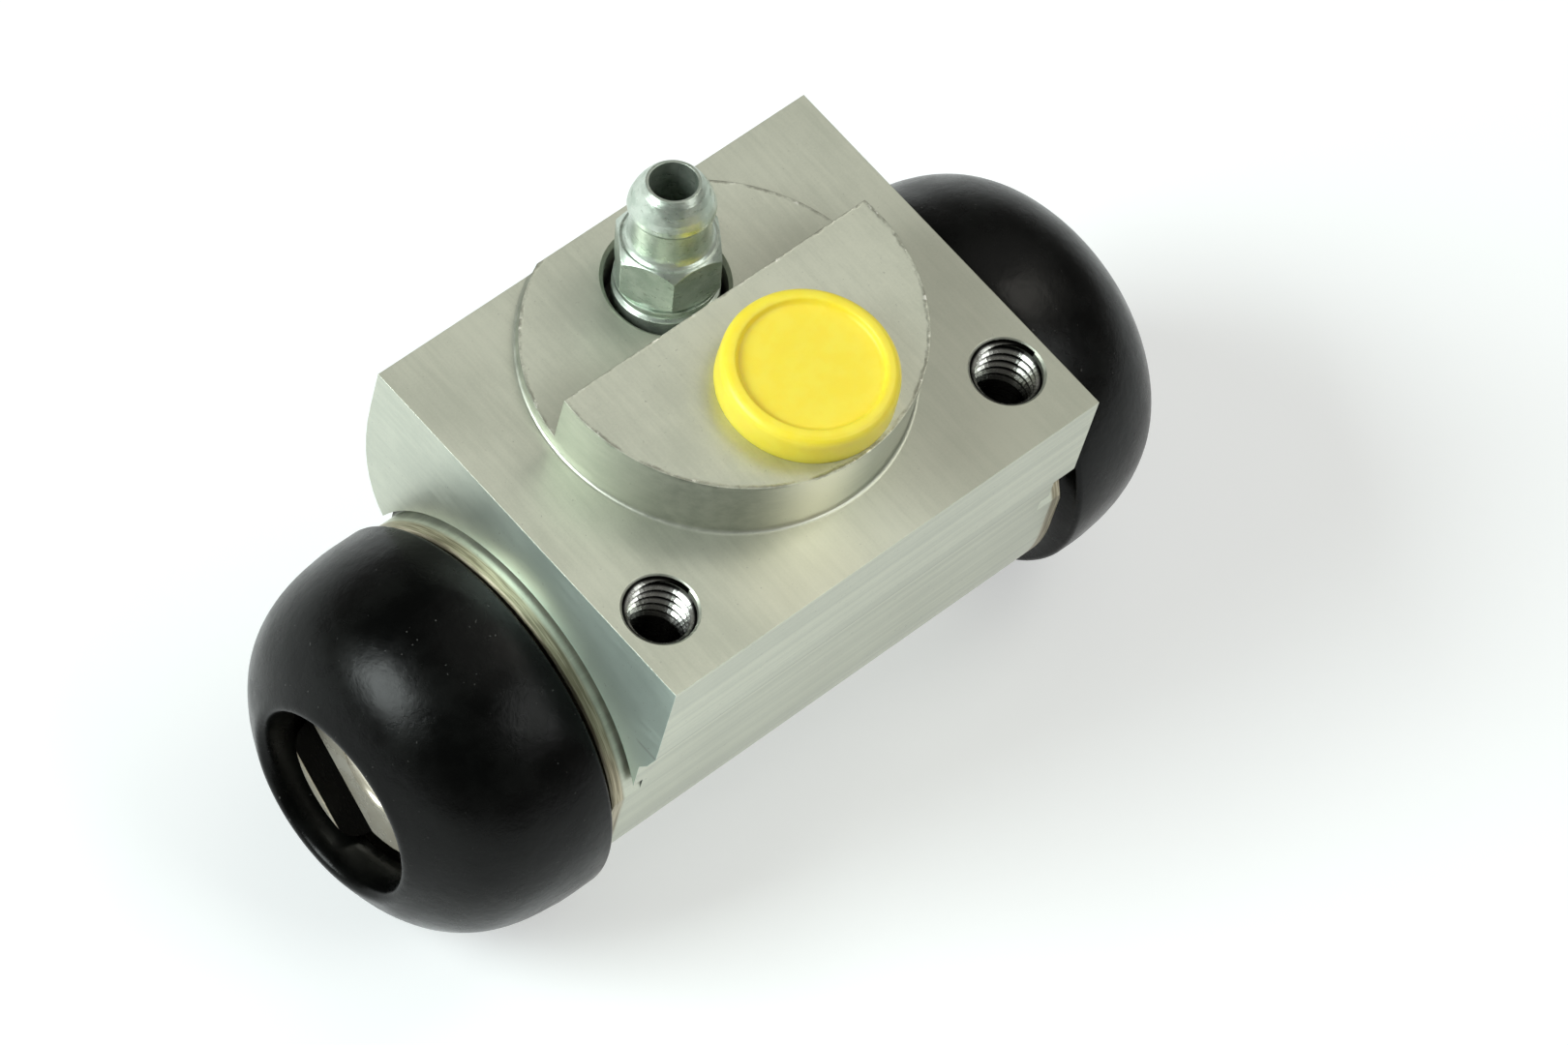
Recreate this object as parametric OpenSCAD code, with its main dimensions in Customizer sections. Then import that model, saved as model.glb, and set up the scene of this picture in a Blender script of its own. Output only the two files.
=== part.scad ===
// Hydraulic wheel cylinder of a drum brake, with two opposed pistons.
// +X runs along the bore, +Z out of the mounting face, +Y from the bolt holes to the bleed screw.
// The origin lies on the mounting face, midway between the two bolt holes.

/* [Body] */
// Length of the aluminium body between its sawn ends
body_len = 45; // [43:0.5:56]
// Width of the mounting face
body_w = 35.6; // [34.8:0.2:39]
// Distance from the line of bolt holes to the middle of the mounting face
face_y = 11.3; // [11:0.1:12]
// Depth of the bore axis below the mounting face
axis_drop = 22.8; // [22.2:0.1:25]
// Distance from the line of bolt holes to the bore axis
axis_y = 10; // [9.6:0.1:11]
// Outside diameter of the barrel
barrel_d = 30.4; // [30:0.2:32]
// Diameter of the bore
bore_d = 20.64; // [19:0.02:21.4]
// Height of the flank beside the bolt holes
flank_h = 10.2; // [9:0.2:12]
// Height of the slope from that flank down to the side of the barrel
slope_h = 3; // [2:0.2:4.4]
// Height at which the rounded flank beside the bleed screw meets the side of the barrel
round_h = 16.6; // [15:0.2:19]

/* [Boss] */
// Diameter of the pilot boss
pilot_d = 31.8; // [30:0.2:34]
// Place of the boss along the bore
pilot_x = 0.3; // [-1:0.1:1]
// Distance from the line of bolt holes to the boss centre
pilot_y = 14.6; // [14.2:0.1:15.6]
// Height of the low level, round the bleed screw
low_h = 1.1; // [0.9:0.1:2]
// Height of the high level, round the inlet
high_h = 6.5; // [5:0.1:7.5]
// Distance from the boss centre to the step between the levels
step_y = 1.65; // [1:0.05:2]
// Radius of the hollow foot of the boss
boss_foot = 0.35; // [0.2:0.05:0.7]

/* [Bolt holes] */
// Distance between the two bolt holes
bolt_pitch = 36.8; // [36:0.1:37.6]
// Thread diameter of the bolt holes
bolt_d = 6; // [5:0.5:6]
// Diameter of the countersunk mouths
bolt_mouth_d = 6.4; // [6.2:0.1:7.4]
// Depth of the bolt holes
bolt_depth = 12.5; // [9:0.5:13]

/* [Spigots] */
// Diameter of the turned shoulder at each end, where the bar is wide enough for it
shoulder_d = 32.1; // [31.4:0.1:33.2]
// Length of the shoulder that shows beside the boot
shoulder_len = 1.8; // [1.4:0.1:2.6]
// Width of the relief turned into the end face round the shoulder
relief_w = 0.5; // [0.3:0.05:0.9]
// Depth of that relief
relief_depth = 1; // [0.3:0.05:1.4]
// Depth of the groove that holds the boot, below the side of the barrel
groove_depth = 1.9; // [1.2:0.1:2.2]
// Width of that groove
groove_w = 3.2; // [2.6:0.1:4]
// Width of the rim past the groove
rim_w = 1.6; // [1:0.1:2.2]
// Height of the rim over the groove's floor
rim_h = 0.9; // [0.5:0.1:1]

/* [Pistons] */
// Radial running clearance of pistons and cups in the bore
bore_clear = 0.05; // [0.02:0.01:0.1]
// Distance from the middle to each piston's inner face
piston_inner = 13; // [12.4:0.1:14]
// Length of the guided part of a piston
piston_land = 13.5; // [12:0.5:15]
// Diameter of the piston's nose
nose_d = 15.6; // [15:0.1:16]
// Distance from the middle to the tip of the nose
nose_tip = 37.8; // [37.2:0.1:38.4]
// Width across flats of the socket for the brake shoe
socket_af = 11.7; // [10:0.1:12.2]
// Depth of the socket's flat walls
socket_depth = 3.4; // [3:0.1:6]
// Turn of the socket about the bore
socket_turn = 38; // [0:1:60]
// Diameter of the blind hole below the socket
blind_d = 10.4; // [8:0.1:11]
// Depth of that hole below the socket's flat walls
blind_depth = 5; // [3:0.1:6]

/* [Cups and spring] */
// Thickness of a cup seal's base
cup_base = 2.4; // [2:0.1:3]
// Length of its lip
cup_lip = 3.6; // [2.5:0.1:4]
// Thickness of its lip
cup_wall = 1.6; // [1.2:0.1:2]
// Sheet thickness of a spring seat
seat_t = 0.8; // [0.5:0.1:1]
// Height of the seat's middle, which centres the spring
seat_boss_h = 1.6; // [1:0.1:2]
// Wire diameter of the spring
wire_d = 1.2; // [0.8:0.1:1.4]
// Mean diameter of the spring
coil_d = 9.2; // [8.6:0.1:10]
// Number of half turns of the spring
half_turns = 12; // [8:2:14]

/* [Boots] */
// How far a boot stands out past the side of the barrel
boot_over = 1.5; // [1.3:0.1:2.3]
// Distance from the middle to the front of a boot
boot_front = 40; // [39.6:0.1:42]
// Diameter of the ring that the boot's front is rolled on
boot_ring_d = 18.3; // [17.8:0.1:20]
// Thickness of the boot's wall
boot_wall = 2; // [1.6:0.1:2.4]
// Gap between the boot's lip and the piston's nose
lip_gap = 0.3; // [0.2:0.05:0.5]
// How far the boot's outer back edge is set back from its bead
flange_set = 0.5; // [0.2:0.1:1]
// Clearance between the boot's bead and its groove
bead_clear = 0.1; // [0.05:0.05:0.2]

/* [Bleed screw] */
// Place of the bleed screw along the bore
bleed_x = 1.2; // [-1.5:0.1:1.5]
// Distance from the boss centre to the bleed screw, on the low level
bleed_y = 7.4; // [7.2:0.1:7.8]
// Lean of the bleed screw away from the inlet
bleed_lean = 9; // [0:1:12]
// Diameter of the sunk ring round the bleed screw
recess_d = 10; // [9.8:0.1:10.2]
// Depth of that ring below the low level
recess_depth = 3.6; // [3:0.1:4.4]
// Thread diameter of the bleed screw
bleed_d = 7; // [6:0.5:7]
// Radial clearance of the screw in its hole
screw_clear = 0.05; // [0.02:0.01:0.1]
// Depth of the bleed screw's seat below the low level
bleed_seat = 11.6; // [10:0.1:12.4]
// Hexagon across flats
hex_af = 8; // [7:0.1:8.2]
// Turn of the hexagon about the screw
hex_turn = 53; // [0:1:60]
// Height of the hexagon's underside above the low level
hex_z = 0.9; // [0.4:0.1:1.6]
// Length of the hexagon
hex_len = 4.6; // [4:0.1:5.2]
// Diameter of the neck
neck_d = 6.6; // [6:0.1:6.8]
// Diameter of the nipple's bead
nipple_d = 7.1; // [6.9:0.1:7.8]
// Height of the nipple's bead above the low level
nipple_z = 9.3; // [8.6:0.1:10.2]
// Height of the nipple's tip above the low level
nipple_top = 12; // [11.8:0.1:14]
// Diameter of the hole in the nipple
nipple_bore = 3.9; // [3:0.1:4.2]

/* [Inlet] */
// Place of the inlet along the bore
inlet_x = 0.9; // [-1:0.1:1]
// Distance from the boss centre to the inlet
inlet_y = 8.3; // [8:0.1:8.6]
// Thread diameter of the inlet
inlet_d = 10; // [9:0.5:10]
// Depth of the inlet's thread below the high level
inlet_depth = 11; // [9:0.5:12]
// Diameter of the drilling from the inlet to the bore
passage_d = 3; // [2:0.1:3.5]
// Diameter of the plug's head at its foot
plug_d = 14.5; // [14:0.1:14.8]
// Diameter of the plug's rim
plug_rim_d = 14.4; // [13.4:0.1:14.6]
// Height of the plug's head
plug_h = 3; // [2.6:0.1:4]
// Width of the plug's rim
plug_rim_w = 1.1; // [1:0.1:1.8]
// Depth of the dish in the plug's head
plug_dish = 0.55; // [0.3:0.05:1]
// Gap between the plug's stem and the inlet
stem_gap = 0.3; // [0.2:0.05:0.5]
// Length of the plug's stem
stem_len = 7; // [4:0.5:8]

/* [Hidden] */

$fn = 96;
cut = 1;
hexagon = 6;
drill_slope = 0.6;

half_w = body_w / 2;
face_near = face_y - half_w;
face_far = face_y + half_w;
half_len = body_len / 2;
barrel_r = barrel_d / 2;
bore_r = bore_d / 2;
pilot_r = pilot_d / 2;

// Ends of the spigot's stretches, measured from the middle of the bore
shoulder_end = half_len + shoulder_len;
groove_end = shoulder_end + groove_w;
spigot_end = groove_end + rim_w;
shoulder_r = shoulder_d / 2;
groove_r = barrel_r - groove_depth;
rim_r = groove_r + rim_h;
edge_chamfer = 0.4;

slide_r = bore_r - bore_clear;
nose_r = nose_d / 2;
land_end = piston_inner + piston_land;
socket_r = socket_af / 2 / cos(180 / hexagon);

cup_face = piston_inner - cup_base;
seat_face = cup_face - seat_t;
seat_r = slide_r - cup_wall - 0.4;
coil_r = coil_d / 2;
seat_boss_r = coil_r - wire_d / 2 - 0.3;
spring_half = seat_face - wire_d / 2 - 0.1;
half_turn_rise = 2 * spring_half / half_turns;
coil_tilt = asin(half_turn_rise / coil_d);

boot_r = barrel_r + boot_over;
boot_ring_r = boot_ring_d / 2;
lip_r = nose_r + lip_gap;

bleed_at = [bleed_x, pilot_y + bleed_y, low_h];
inlet_at = [inlet_x, pilot_y - inlet_y, 0];
screw_r = bleed_d / 2 - screw_clear;
collar_r = hex_af / 2 + 0.35;
hex_top = hex_z + hex_len;
hex_r = hex_af / 2 / cos(180 / hexagon);
hex_bevel = 0.7;
inlet_floor = high_h - inlet_depth;

// One point of a cubic curve, and a run of points along it
function curve_at(p, t) = pow(1 - t, 3) * p[0] + 3 * t * pow(1 - t, 2) * p[1]
    + 3 * t * t * (1 - t) * p[2] + pow(t, 3) * p[3];
function curve(p, steps) = [for (i = [0 : steps]) curve_at(p, i / steps)];

// Puts a shape that stands on Z along the bore axis, its X to +Y and its Y to +Z
module on_bore() {
    translate([0, axis_y, -axis_drop]) rotate([90, 0, 90]) children();
}

// Turns a profile of [place along the bore, radius] points about the bore axis
module turned(profile) {
    on_bore() rotate_extrude() polygon([for (p = profile) [p[1], p[0]]]);
}

// Turns a profile of [radius, height] points about the vertical
module turned_up(profile) {
    rotate_extrude() polygon(profile);
}

// Cross-section of the drawn bar: a flat face, two flanks, straight sides and a round bottom
module bar_section() {
    near = face_near - axis_y;
    far = face_far - axis_y;
    round_steps = 8;
    slope_top = axis_drop - flank_h;
    round_foot = axis_drop - round_h;
    flank_round = curve([
        [far, axis_drop - round_h * 0.3], [far, axis_drop - round_h * 0.65],
        [barrel_r + (far - barrel_r) * 0.65, axis_drop - round_h * 0.88], [barrel_r, round_foot]
    ], round_steps);
    polygon(concat(
        [[far, axis_drop]], flank_round,
        [[barrel_r, 0], [-barrel_r, 0], [-barrel_r, slope_top - slope_h],
         [near + 0.6, slope_top - slope_h * 0.62], [near, slope_top], [near, axis_drop]]
    ));
    circle(r = barrel_r);
}

// Pilot boss with a hollow foot, cut off flush with the flank beside the bleed screw
module pilot_boss() {
    foot_steps = 4;
    foot = curve([
        [pilot_r + boss_foot, 0], [pilot_r + boss_foot * 0.45, 0],
        [pilot_r, boss_foot * 0.45], [pilot_r, boss_foot]
    ], foot_steps);
    intersection() {
        translate([pilot_x, pilot_y, 0]) turned_up(concat(
            [[0, -cut], [pilot_r + boss_foot, -cut]], foot, [[pilot_r, high_h], [0, high_h]]
        ));
        translate([-half_len, face_near - cut, -cut]) cube([body_len, body_w + cut, high_h + 2 * cut]);
    }
}

// The part of the high level that is milled down to the low level
module low_level_cut() {
    reach = pilot_d + 4 * cut;
    translate([pilot_x - reach / 2, pilot_y + step_y, low_h]) cube([reach, reach, high_h]);
}

// Turned end of the body: shoulder as wide as the bar allows, groove for the boot and rim
module spigot() {
    intersection() {
        turned([
            [half_len - cut, 0], [half_len - cut, shoulder_r],
            [shoulder_end - edge_chamfer / 2, shoulder_r],
            [shoulder_end, shoulder_r - edge_chamfer / 2], [shoulder_end, 0]
        ]);
        translate([half_len - 2 * cut, 0, 0]) on_bore()
            linear_extrude(shoulder_len + 3 * cut) bar_section();
    }
    turned([
        [half_len - cut, 0], [half_len - cut, groove_r], [groove_end, groove_r],
        [groove_end, rim_r], [spigot_end - edge_chamfer, rim_r],
        [spigot_end, rim_r - edge_chamfer], [spigot_end, 0]
    ]);
}

// Relief turned into the end face round the shoulder
module relief_cut() {
    turned([
        [half_len - relief_depth, shoulder_r], [half_len - relief_depth, shoulder_r + relief_w],
        [half_len + cut, shoulder_r + relief_w], [half_len + cut, shoulder_r]
    ]);
}

module bore_cut() {
    turned([
        [-spigot_end - cut, 0], [-spigot_end - cut, bore_r + edge_chamfer],
        [-spigot_end, bore_r + edge_chamfer], [-spigot_end + edge_chamfer, bore_r],
        [spigot_end - edge_chamfer, bore_r], [spigot_end, bore_r + edge_chamfer],
        [spigot_end + cut, bore_r + edge_chamfer], [spigot_end + cut, 0]
    ]);
}

// Blind bolt hole with a countersunk mouth and a drill point
module bolt_hole(side) {
    bolt_r = bolt_d / 2;
    mouth_r = bolt_mouth_d / 2;
    translate([side * bolt_pitch / 2, 0, 0]) turned_up([
        [0, cut], [mouth_r, cut], [mouth_r, 0], [bolt_r, bolt_r - mouth_r],
        [bolt_r, -bolt_depth], [0, -bolt_depth - bolt_r * drill_slope]
    ]);
}

// Inlet thread with a drill point, and the drilling down to the bore
module inlet_cut() {
    inlet_r = inlet_d / 2;
    passage_floor = -axis_drop + bore_r * 0.6;
    translate(inlet_at) {
        turned_up([
            [0, high_h + cut], [inlet_r, high_h + cut], [inlet_r, inlet_floor],
            [0, inlet_floor - inlet_r * drill_slope]
        ]);
        translate([0, 0, passage_floor]) cylinder(d = passage_d, h = inlet_floor - passage_floor);
    }
}

// Puts a shape that stands on Z along the leaning bleed screw, with its foot on the low level
module on_bleed_screw() {
    translate(bleed_at) rotate([-bleed_lean, 0, 0]) children();
}

// Hole of the bleed screw with its sunk ring and cone seat, and the slanted drilling to the bore
module bleed_cut() {
    thread_r = bleed_d / 2;
    recess_r = recess_d / 2;
    recess_edge = 0.35;
    tip_drop = thread_r;
    slant = 41;
    slant_len = axis_drop - bleed_seat;
    on_bleed_screw() {
        turned_up([
            [0, cut], [recess_r, cut], [recess_r, -recess_depth], [thread_r, -recess_depth],
            [thread_r, -bleed_seat], [0, -bleed_seat - tip_drop]
        ]);
        translate([0, 0, -bleed_seat - tip_drop / 2]) rotate([180 - slant, 0, 0])
            cylinder(d = passage_d * 0.7, h = slant_len * 0.8);
    }
    translate(bleed_at) turned_up([
        [0, recess_edge], [recess_r + 2 * recess_edge, recess_edge],
        [recess_r - 2 * recess_edge, -3 * recess_edge], [0, -3 * recess_edge]
    ]);
}

module cylinder_body() color("#b9bab4") {
    difference() {
        union() {
            translate([-half_len, 0, 0]) on_bore() linear_extrude(body_len) bar_section();
            pilot_boss();
            spigot();
            mirror([1, 0, 0]) spigot();
        }
        low_level_cut();
        bore_cut();
        relief_cut();
        mirror([1, 0, 0]) relief_cut();
        for (side = [-1, 1]) bolt_hole(side);
        inlet_cut();
        bleed_cut();
    }
}

// Stepped piston with a hexagonal socket for the brake shoe's web
module piston() {
    nose_bevel = 0.35;
    land_bevel = 0.6;
    socket_floor = nose_tip - socket_depth;
    blind_floor = socket_floor - blind_depth;
    blind_r = blind_d / 2;
    difference() {
        turned([
            [piston_inner, 0], [piston_inner, slide_r - land_bevel],
            [piston_inner + land_bevel, slide_r], [land_end - land_bevel, slide_r],
            [land_end, slide_r - land_bevel], [land_end, nose_r],
            [nose_tip - nose_bevel, nose_r], [nose_tip, nose_r - nose_bevel], [nose_tip, 0]
        ]);
        on_bore() translate([0, 0, socket_floor]) rotate(socket_turn)
            cylinder(r = socket_r, h = socket_depth + cut, $fn = hexagon);
        turned([
            [blind_floor - blind_r * drill_slope, 0], [blind_floor, blind_r],
            [socket_floor + cut / 2, blind_r], [socket_floor + cut / 2, 0]
        ]);
    }
}

module right_piston() color("#c9c9c6") piston();

module left_piston() color("#c9c9c6") mirror([1, 0, 0]) piston();

// Cup seal: a flat base on the piston and a lip that opens towards the fluid
module cup_seal() {
    lip_end = cup_face - cup_lip;
    lip_thin = 0.5;
    turned([
        [piston_inner, 0], [piston_inner, slide_r], [lip_end, slide_r],
        [lip_end, slide_r - cup_wall + lip_thin], [cup_face - edge_chamfer, slide_r - cup_wall],
        [cup_face, slide_r - cup_wall], [cup_face, 0]
    ]);
}

module right_cup_seal() color("#1c1c1e") cup_seal();

module left_cup_seal() color("#1c1c1e") mirror([1, 0, 0]) cup_seal();

// Pressed spring seat: a disc in the cup with a raised middle inside the spring
module spring_seat() {
    turned([
        [cup_face, 0], [cup_face, seat_r], [seat_face, seat_r], [seat_face, seat_boss_r],
        [seat_face - seat_boss_h, seat_boss_r - edge_chamfer], [seat_face - seat_boss_h, 0]
    ]);
}

module right_spring_seat() color("#a9acab") spring_seat();

module left_spring_seat() color("#a9acab") mirror([1, 0, 0]) spring_seat();

// One half turn of the spring, tilted so that it climbs to the next one
module half_turn(index) {
    side = index % 2;
    lift = (index + 0.5) * half_turn_rise - spring_half;
    tilt = side == 0 ? -coil_tilt : coil_tilt;
    on_bore() translate([0, 0, lift]) rotate([0, tilt, 0]) rotate(180 * side)
        rotate_extrude(angle = 180, $fn = 32) translate([coil_r, 0]) circle(d = wire_d, $fn = 8);
}

module return_spring() color("#8d9192") {
    for (index = [0 : half_turns - 1]) half_turn(index);
}

// Rubber boot: bead in the groove, domed wall and a front rolled in round the nose
module boot() {
    wall_steps = 14;
    roll_steps = 8;
    bead_start = shoulder_end + bead_clear;
    bead_end = groove_end - bead_clear;
    bead_r = groove_r + bead_clear;
    over_rim_r = rim_r + bead_clear;
    flange_start = bead_start + flange_set;
    crown = flange_start + 2.5;
    dome_len = boot_front - crown;
    ring_at = boot_front - 0.25;
    lip_front = boot_front - 2.8;
    lip_back = lip_front - 1.2;
    inside_start = spigot_end + 0.3;
    inside_r = max(boot_r - boot_wall - 0.2, over_rim_r + 0.1);
    dome = curve([
        [crown, boot_r], [crown + dome_len * 0.7, boot_r - 0.15],
        [crown + dome_len * 0.854, boot_r - 4.3], [ring_at, boot_ring_r + 0.2]
    ], wall_steps);
    roll = curve([
        [ring_at, boot_ring_r + 0.2], [boot_front + 0.4, boot_ring_r - 1],
        [boot_front - 0.8, lip_r], [lip_front, lip_r]
    ], roll_steps);
    inside = curve([
        [lip_front, lip_r + boot_wall * 0.9], [boot_front - boot_wall - 0.9, boot_ring_r + 2.6],
        [inside_start + dome_len * 0.45, inside_r], [inside_start, inside_r]
    ], wall_steps);
    back = curve([
        [flange_start, boot_r - 0.8], [flange_start + 0.1, boot_r - 0.3],
        [flange_start + 0.9, boot_r], [crown, boot_r]
    ], roll_steps);
    turned(concat(
        [[bead_start, bead_r], [bead_start, bead_r + 1.1], [flange_start, bead_r + 1.2]],
        back, [for (i = [1 : wall_steps]) dome[i]],
        [for (i = [1 : roll_steps]) roll[i]],
        [[lip_back, lip_r], [lip_back, lip_r + 0.7]], inside,
        [[inside_start, over_rim_r], [bead_end, over_rim_r], [bead_end, bead_r]]
    ));
}

module right_boot() color("#1a1b1c") boot();

module left_boot() color("#1a1b1c") mirror([1, 0, 0]) boot();

// Hexagon with both ends bevelled by a cone
module bevelled_hexagon() {
    end_r = hex_r - hex_bevel;
    beyond = hex_bevel + 0.4;
    intersection() {
        translate([0, 0, hex_z]) rotate(hex_turn) cylinder(r = hex_r, h = hex_len, $fn = hexagon);
        turned_up([
            [0, hex_z], [end_r, hex_z], [end_r + beyond, hex_z + beyond],
            [end_r + beyond, hex_top - beyond], [end_r, hex_top], [0, hex_top]
        ]);
    }
}

// Bleed screw: cone tip, thread, collar, hexagon, flared neck and a rounded nipple
module bleed_screw() color("#c3c7c4") on_bleed_screw() {
    curve_steps = 5;
    neck_r = neck_d / 2;
    nipple_r = nipple_d / 2;
    mouth_r = nipple_bore / 2;
    tip_drop = screw_r * 0.7;
    tip_floor = screw_clear - bleed_seat - tip_drop;
    hole_floor = tip_drop - bleed_seat;
    cross_z = hole_floor + 1;
    collar_z = screw_clear - recess_depth;
    waist_r = collar_r - 0.35;
    flare = curve([
        [neck_r + 0.65, hex_top - 0.1], [neck_r + 0.2, hex_top + 0.1],
        [neck_r, hex_top + 0.5], [neck_r, hex_top + 1.1]
    ], curve_steps);
    bead = curve([
        [neck_r, nipple_z - 0.5], [neck_r, nipple_z - 0.3],
        [nipple_r - 0.1, nipple_z - 0.3], [nipple_r, nipple_z]
    ], curve_steps);
    head = curve([
        [nipple_r, nipple_z], [nipple_r, nipple_z + 0.5],
        [mouth_r + 0.95, nipple_top - 0.7], [mouth_r + 0.25, nipple_top]
    ], curve_steps);
    difference() {
        union() {
            bevelled_hexagon();
            turned_up(concat(
                [[0, tip_floor], [screw_r * 0.3, tip_floor], [screw_r, screw_clear - bleed_seat],
                 [screw_r, collar_z], [collar_r, collar_z], [collar_r, hex_z - 1.1],
                 [waist_r, hex_z - 0.9], [waist_r, hex_z - 0.6], [collar_r - 0.1, hex_z - 0.4],
                 [collar_r - 0.1, hex_z], [neck_r + 0.65, hex_z]],
                flare, bead, [for (i = [1 : curve_steps]) head[i]], [[0, nipple_top]]
            ));
        }
        translate([0, 0, hole_floor]) cylinder(r = mouth_r, h = nipple_top - hole_floor + cut);
        translate([0, 0, cross_z]) rotate([90, 0, 0])
            cylinder(d = 1.6, h = bleed_d + 2 * cut, center = true);
    }
}

// Push-in transport plug with a soft rim round a shallow dish and a hollow stem
module inlet_plug() color("#f7c41f") translate(inlet_at) {
    curve_steps = 5;
    foot_r = plug_d / 2;
    rim_r = plug_rim_d / 2;
    stem_r = inlet_d / 2 - stem_gap;
    top = high_h + plug_h;
    rim_round = 0.9;
    dish_r = rim_r - plug_rim_w;
    stem_wall = 1.3;
    rim = curve([
        [rim_r, top - rim_round], [rim_r, top - rim_round * 0.4],
        [rim_r - rim_round * 0.4, top], [rim_r - rim_round, top]
    ], curve_steps);
    dish = curve([
        [dish_r, top], [dish_r - 0.3, top], [dish_r - 0.15, top - plug_dish],
        [dish_r - 0.6, top - plug_dish]
    ], curve_steps);
    turned_up(concat(
        [[0, high_h], [stem_r - stem_wall, high_h], [stem_r - stem_wall, high_h - stem_len],
         [stem_r - 0.5, high_h - stem_len], [stem_r, high_h - stem_len + 1], [stem_r, high_h],
         [foot_r, high_h], [foot_r, high_h + 0.7]],
        rim, dish, [[0, top - plug_dish]]
    ));
}

cylinder_body();
left_piston();
right_piston();
left_cup_seal();
right_cup_seal();
left_spring_seat();
right_spring_seat();
return_spring();
left_boot();
right_boot();
bleed_screw();
inlet_plug();
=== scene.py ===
"""Wheel cylinder on a white table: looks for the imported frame, and the forms that are drawn here.

Drawn here are the soft rubber boots, the ridges of three threads, the slotted pistons and the two halves
of the return spring.
"""
import math

import bmesh
import bpy
from mathutils import Matrix, Vector, noise


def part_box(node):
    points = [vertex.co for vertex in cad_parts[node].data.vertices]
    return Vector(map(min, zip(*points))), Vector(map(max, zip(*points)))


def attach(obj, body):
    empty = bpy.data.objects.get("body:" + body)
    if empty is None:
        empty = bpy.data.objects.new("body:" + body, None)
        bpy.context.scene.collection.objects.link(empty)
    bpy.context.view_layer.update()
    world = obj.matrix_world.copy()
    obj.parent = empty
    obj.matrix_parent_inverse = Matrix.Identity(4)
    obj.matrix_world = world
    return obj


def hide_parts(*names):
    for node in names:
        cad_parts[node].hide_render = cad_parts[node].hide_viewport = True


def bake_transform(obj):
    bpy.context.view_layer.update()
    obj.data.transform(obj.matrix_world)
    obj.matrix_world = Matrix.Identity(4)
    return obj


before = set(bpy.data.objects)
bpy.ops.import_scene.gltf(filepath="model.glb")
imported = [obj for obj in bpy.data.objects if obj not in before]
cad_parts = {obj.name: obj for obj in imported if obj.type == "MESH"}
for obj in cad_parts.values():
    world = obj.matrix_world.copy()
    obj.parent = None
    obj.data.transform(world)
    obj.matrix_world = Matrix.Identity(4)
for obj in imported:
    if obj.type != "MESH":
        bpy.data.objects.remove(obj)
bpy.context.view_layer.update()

MM = 0.001
TURN = 2 * math.pi

# Camera fitted to the photograph: degrees, millimetres, and pixels for the width and the focal length
IMAGE_WIDTH = 1620
FOCAL_PX = 8586.8
SENSOR_MM = 36
CAMERA_AZIMUTH = -57.03
CAMERA_ELEVATION = 57.788
CAMERA_ROLL = 18.04
CAMERA_DISTANCE = 648.388
CAMERA_ASIDE = (-4.061, -2.637)

# Sizes read off the frame, in millimetres
boot_low, boot_high = (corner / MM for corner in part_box("right_boot"))
AXIS_Y = (boot_low.y + boot_high.y) / 2
AXIS_Z = (boot_low.z + boot_high.z) / 2
FLOOR_Z = boot_low.z

# Places on the body, in millimetres
BOSS_AT = (0.3, 14.6, 0.0)
BOSS_R = 15.9
BOSS_STEP_Y = 16.25
HIGH_LEVEL = 6.5
LOW_LEVEL = 1.1
BOLT_X = 18.4
BOLT_R = 3.0
BLEED_AT = (1.2, 22.0, 0.0)
RECESS_R = 5.35
INLET_AT = (0.9, 6.3, 0.0)
END_X = 22.5
SHOULDER_R = 16.05
FLANK_FOOT = -10.2

# Places on the pistons, in millimetres
NOSE_TIP = 37.8
SLOT_HALF = 5.8
SLOT_FLOOR = 35.3
SLOT_TURN = math.radians(33.4)


# Node materials

EDGE_SAMPLES = 6
MIX_COLOUR_INPUTS = (6, 7)
MIX_COLOUR_OUTPUT = 2
MIX_NUMBER_INPUTS = (2, 3)


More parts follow.
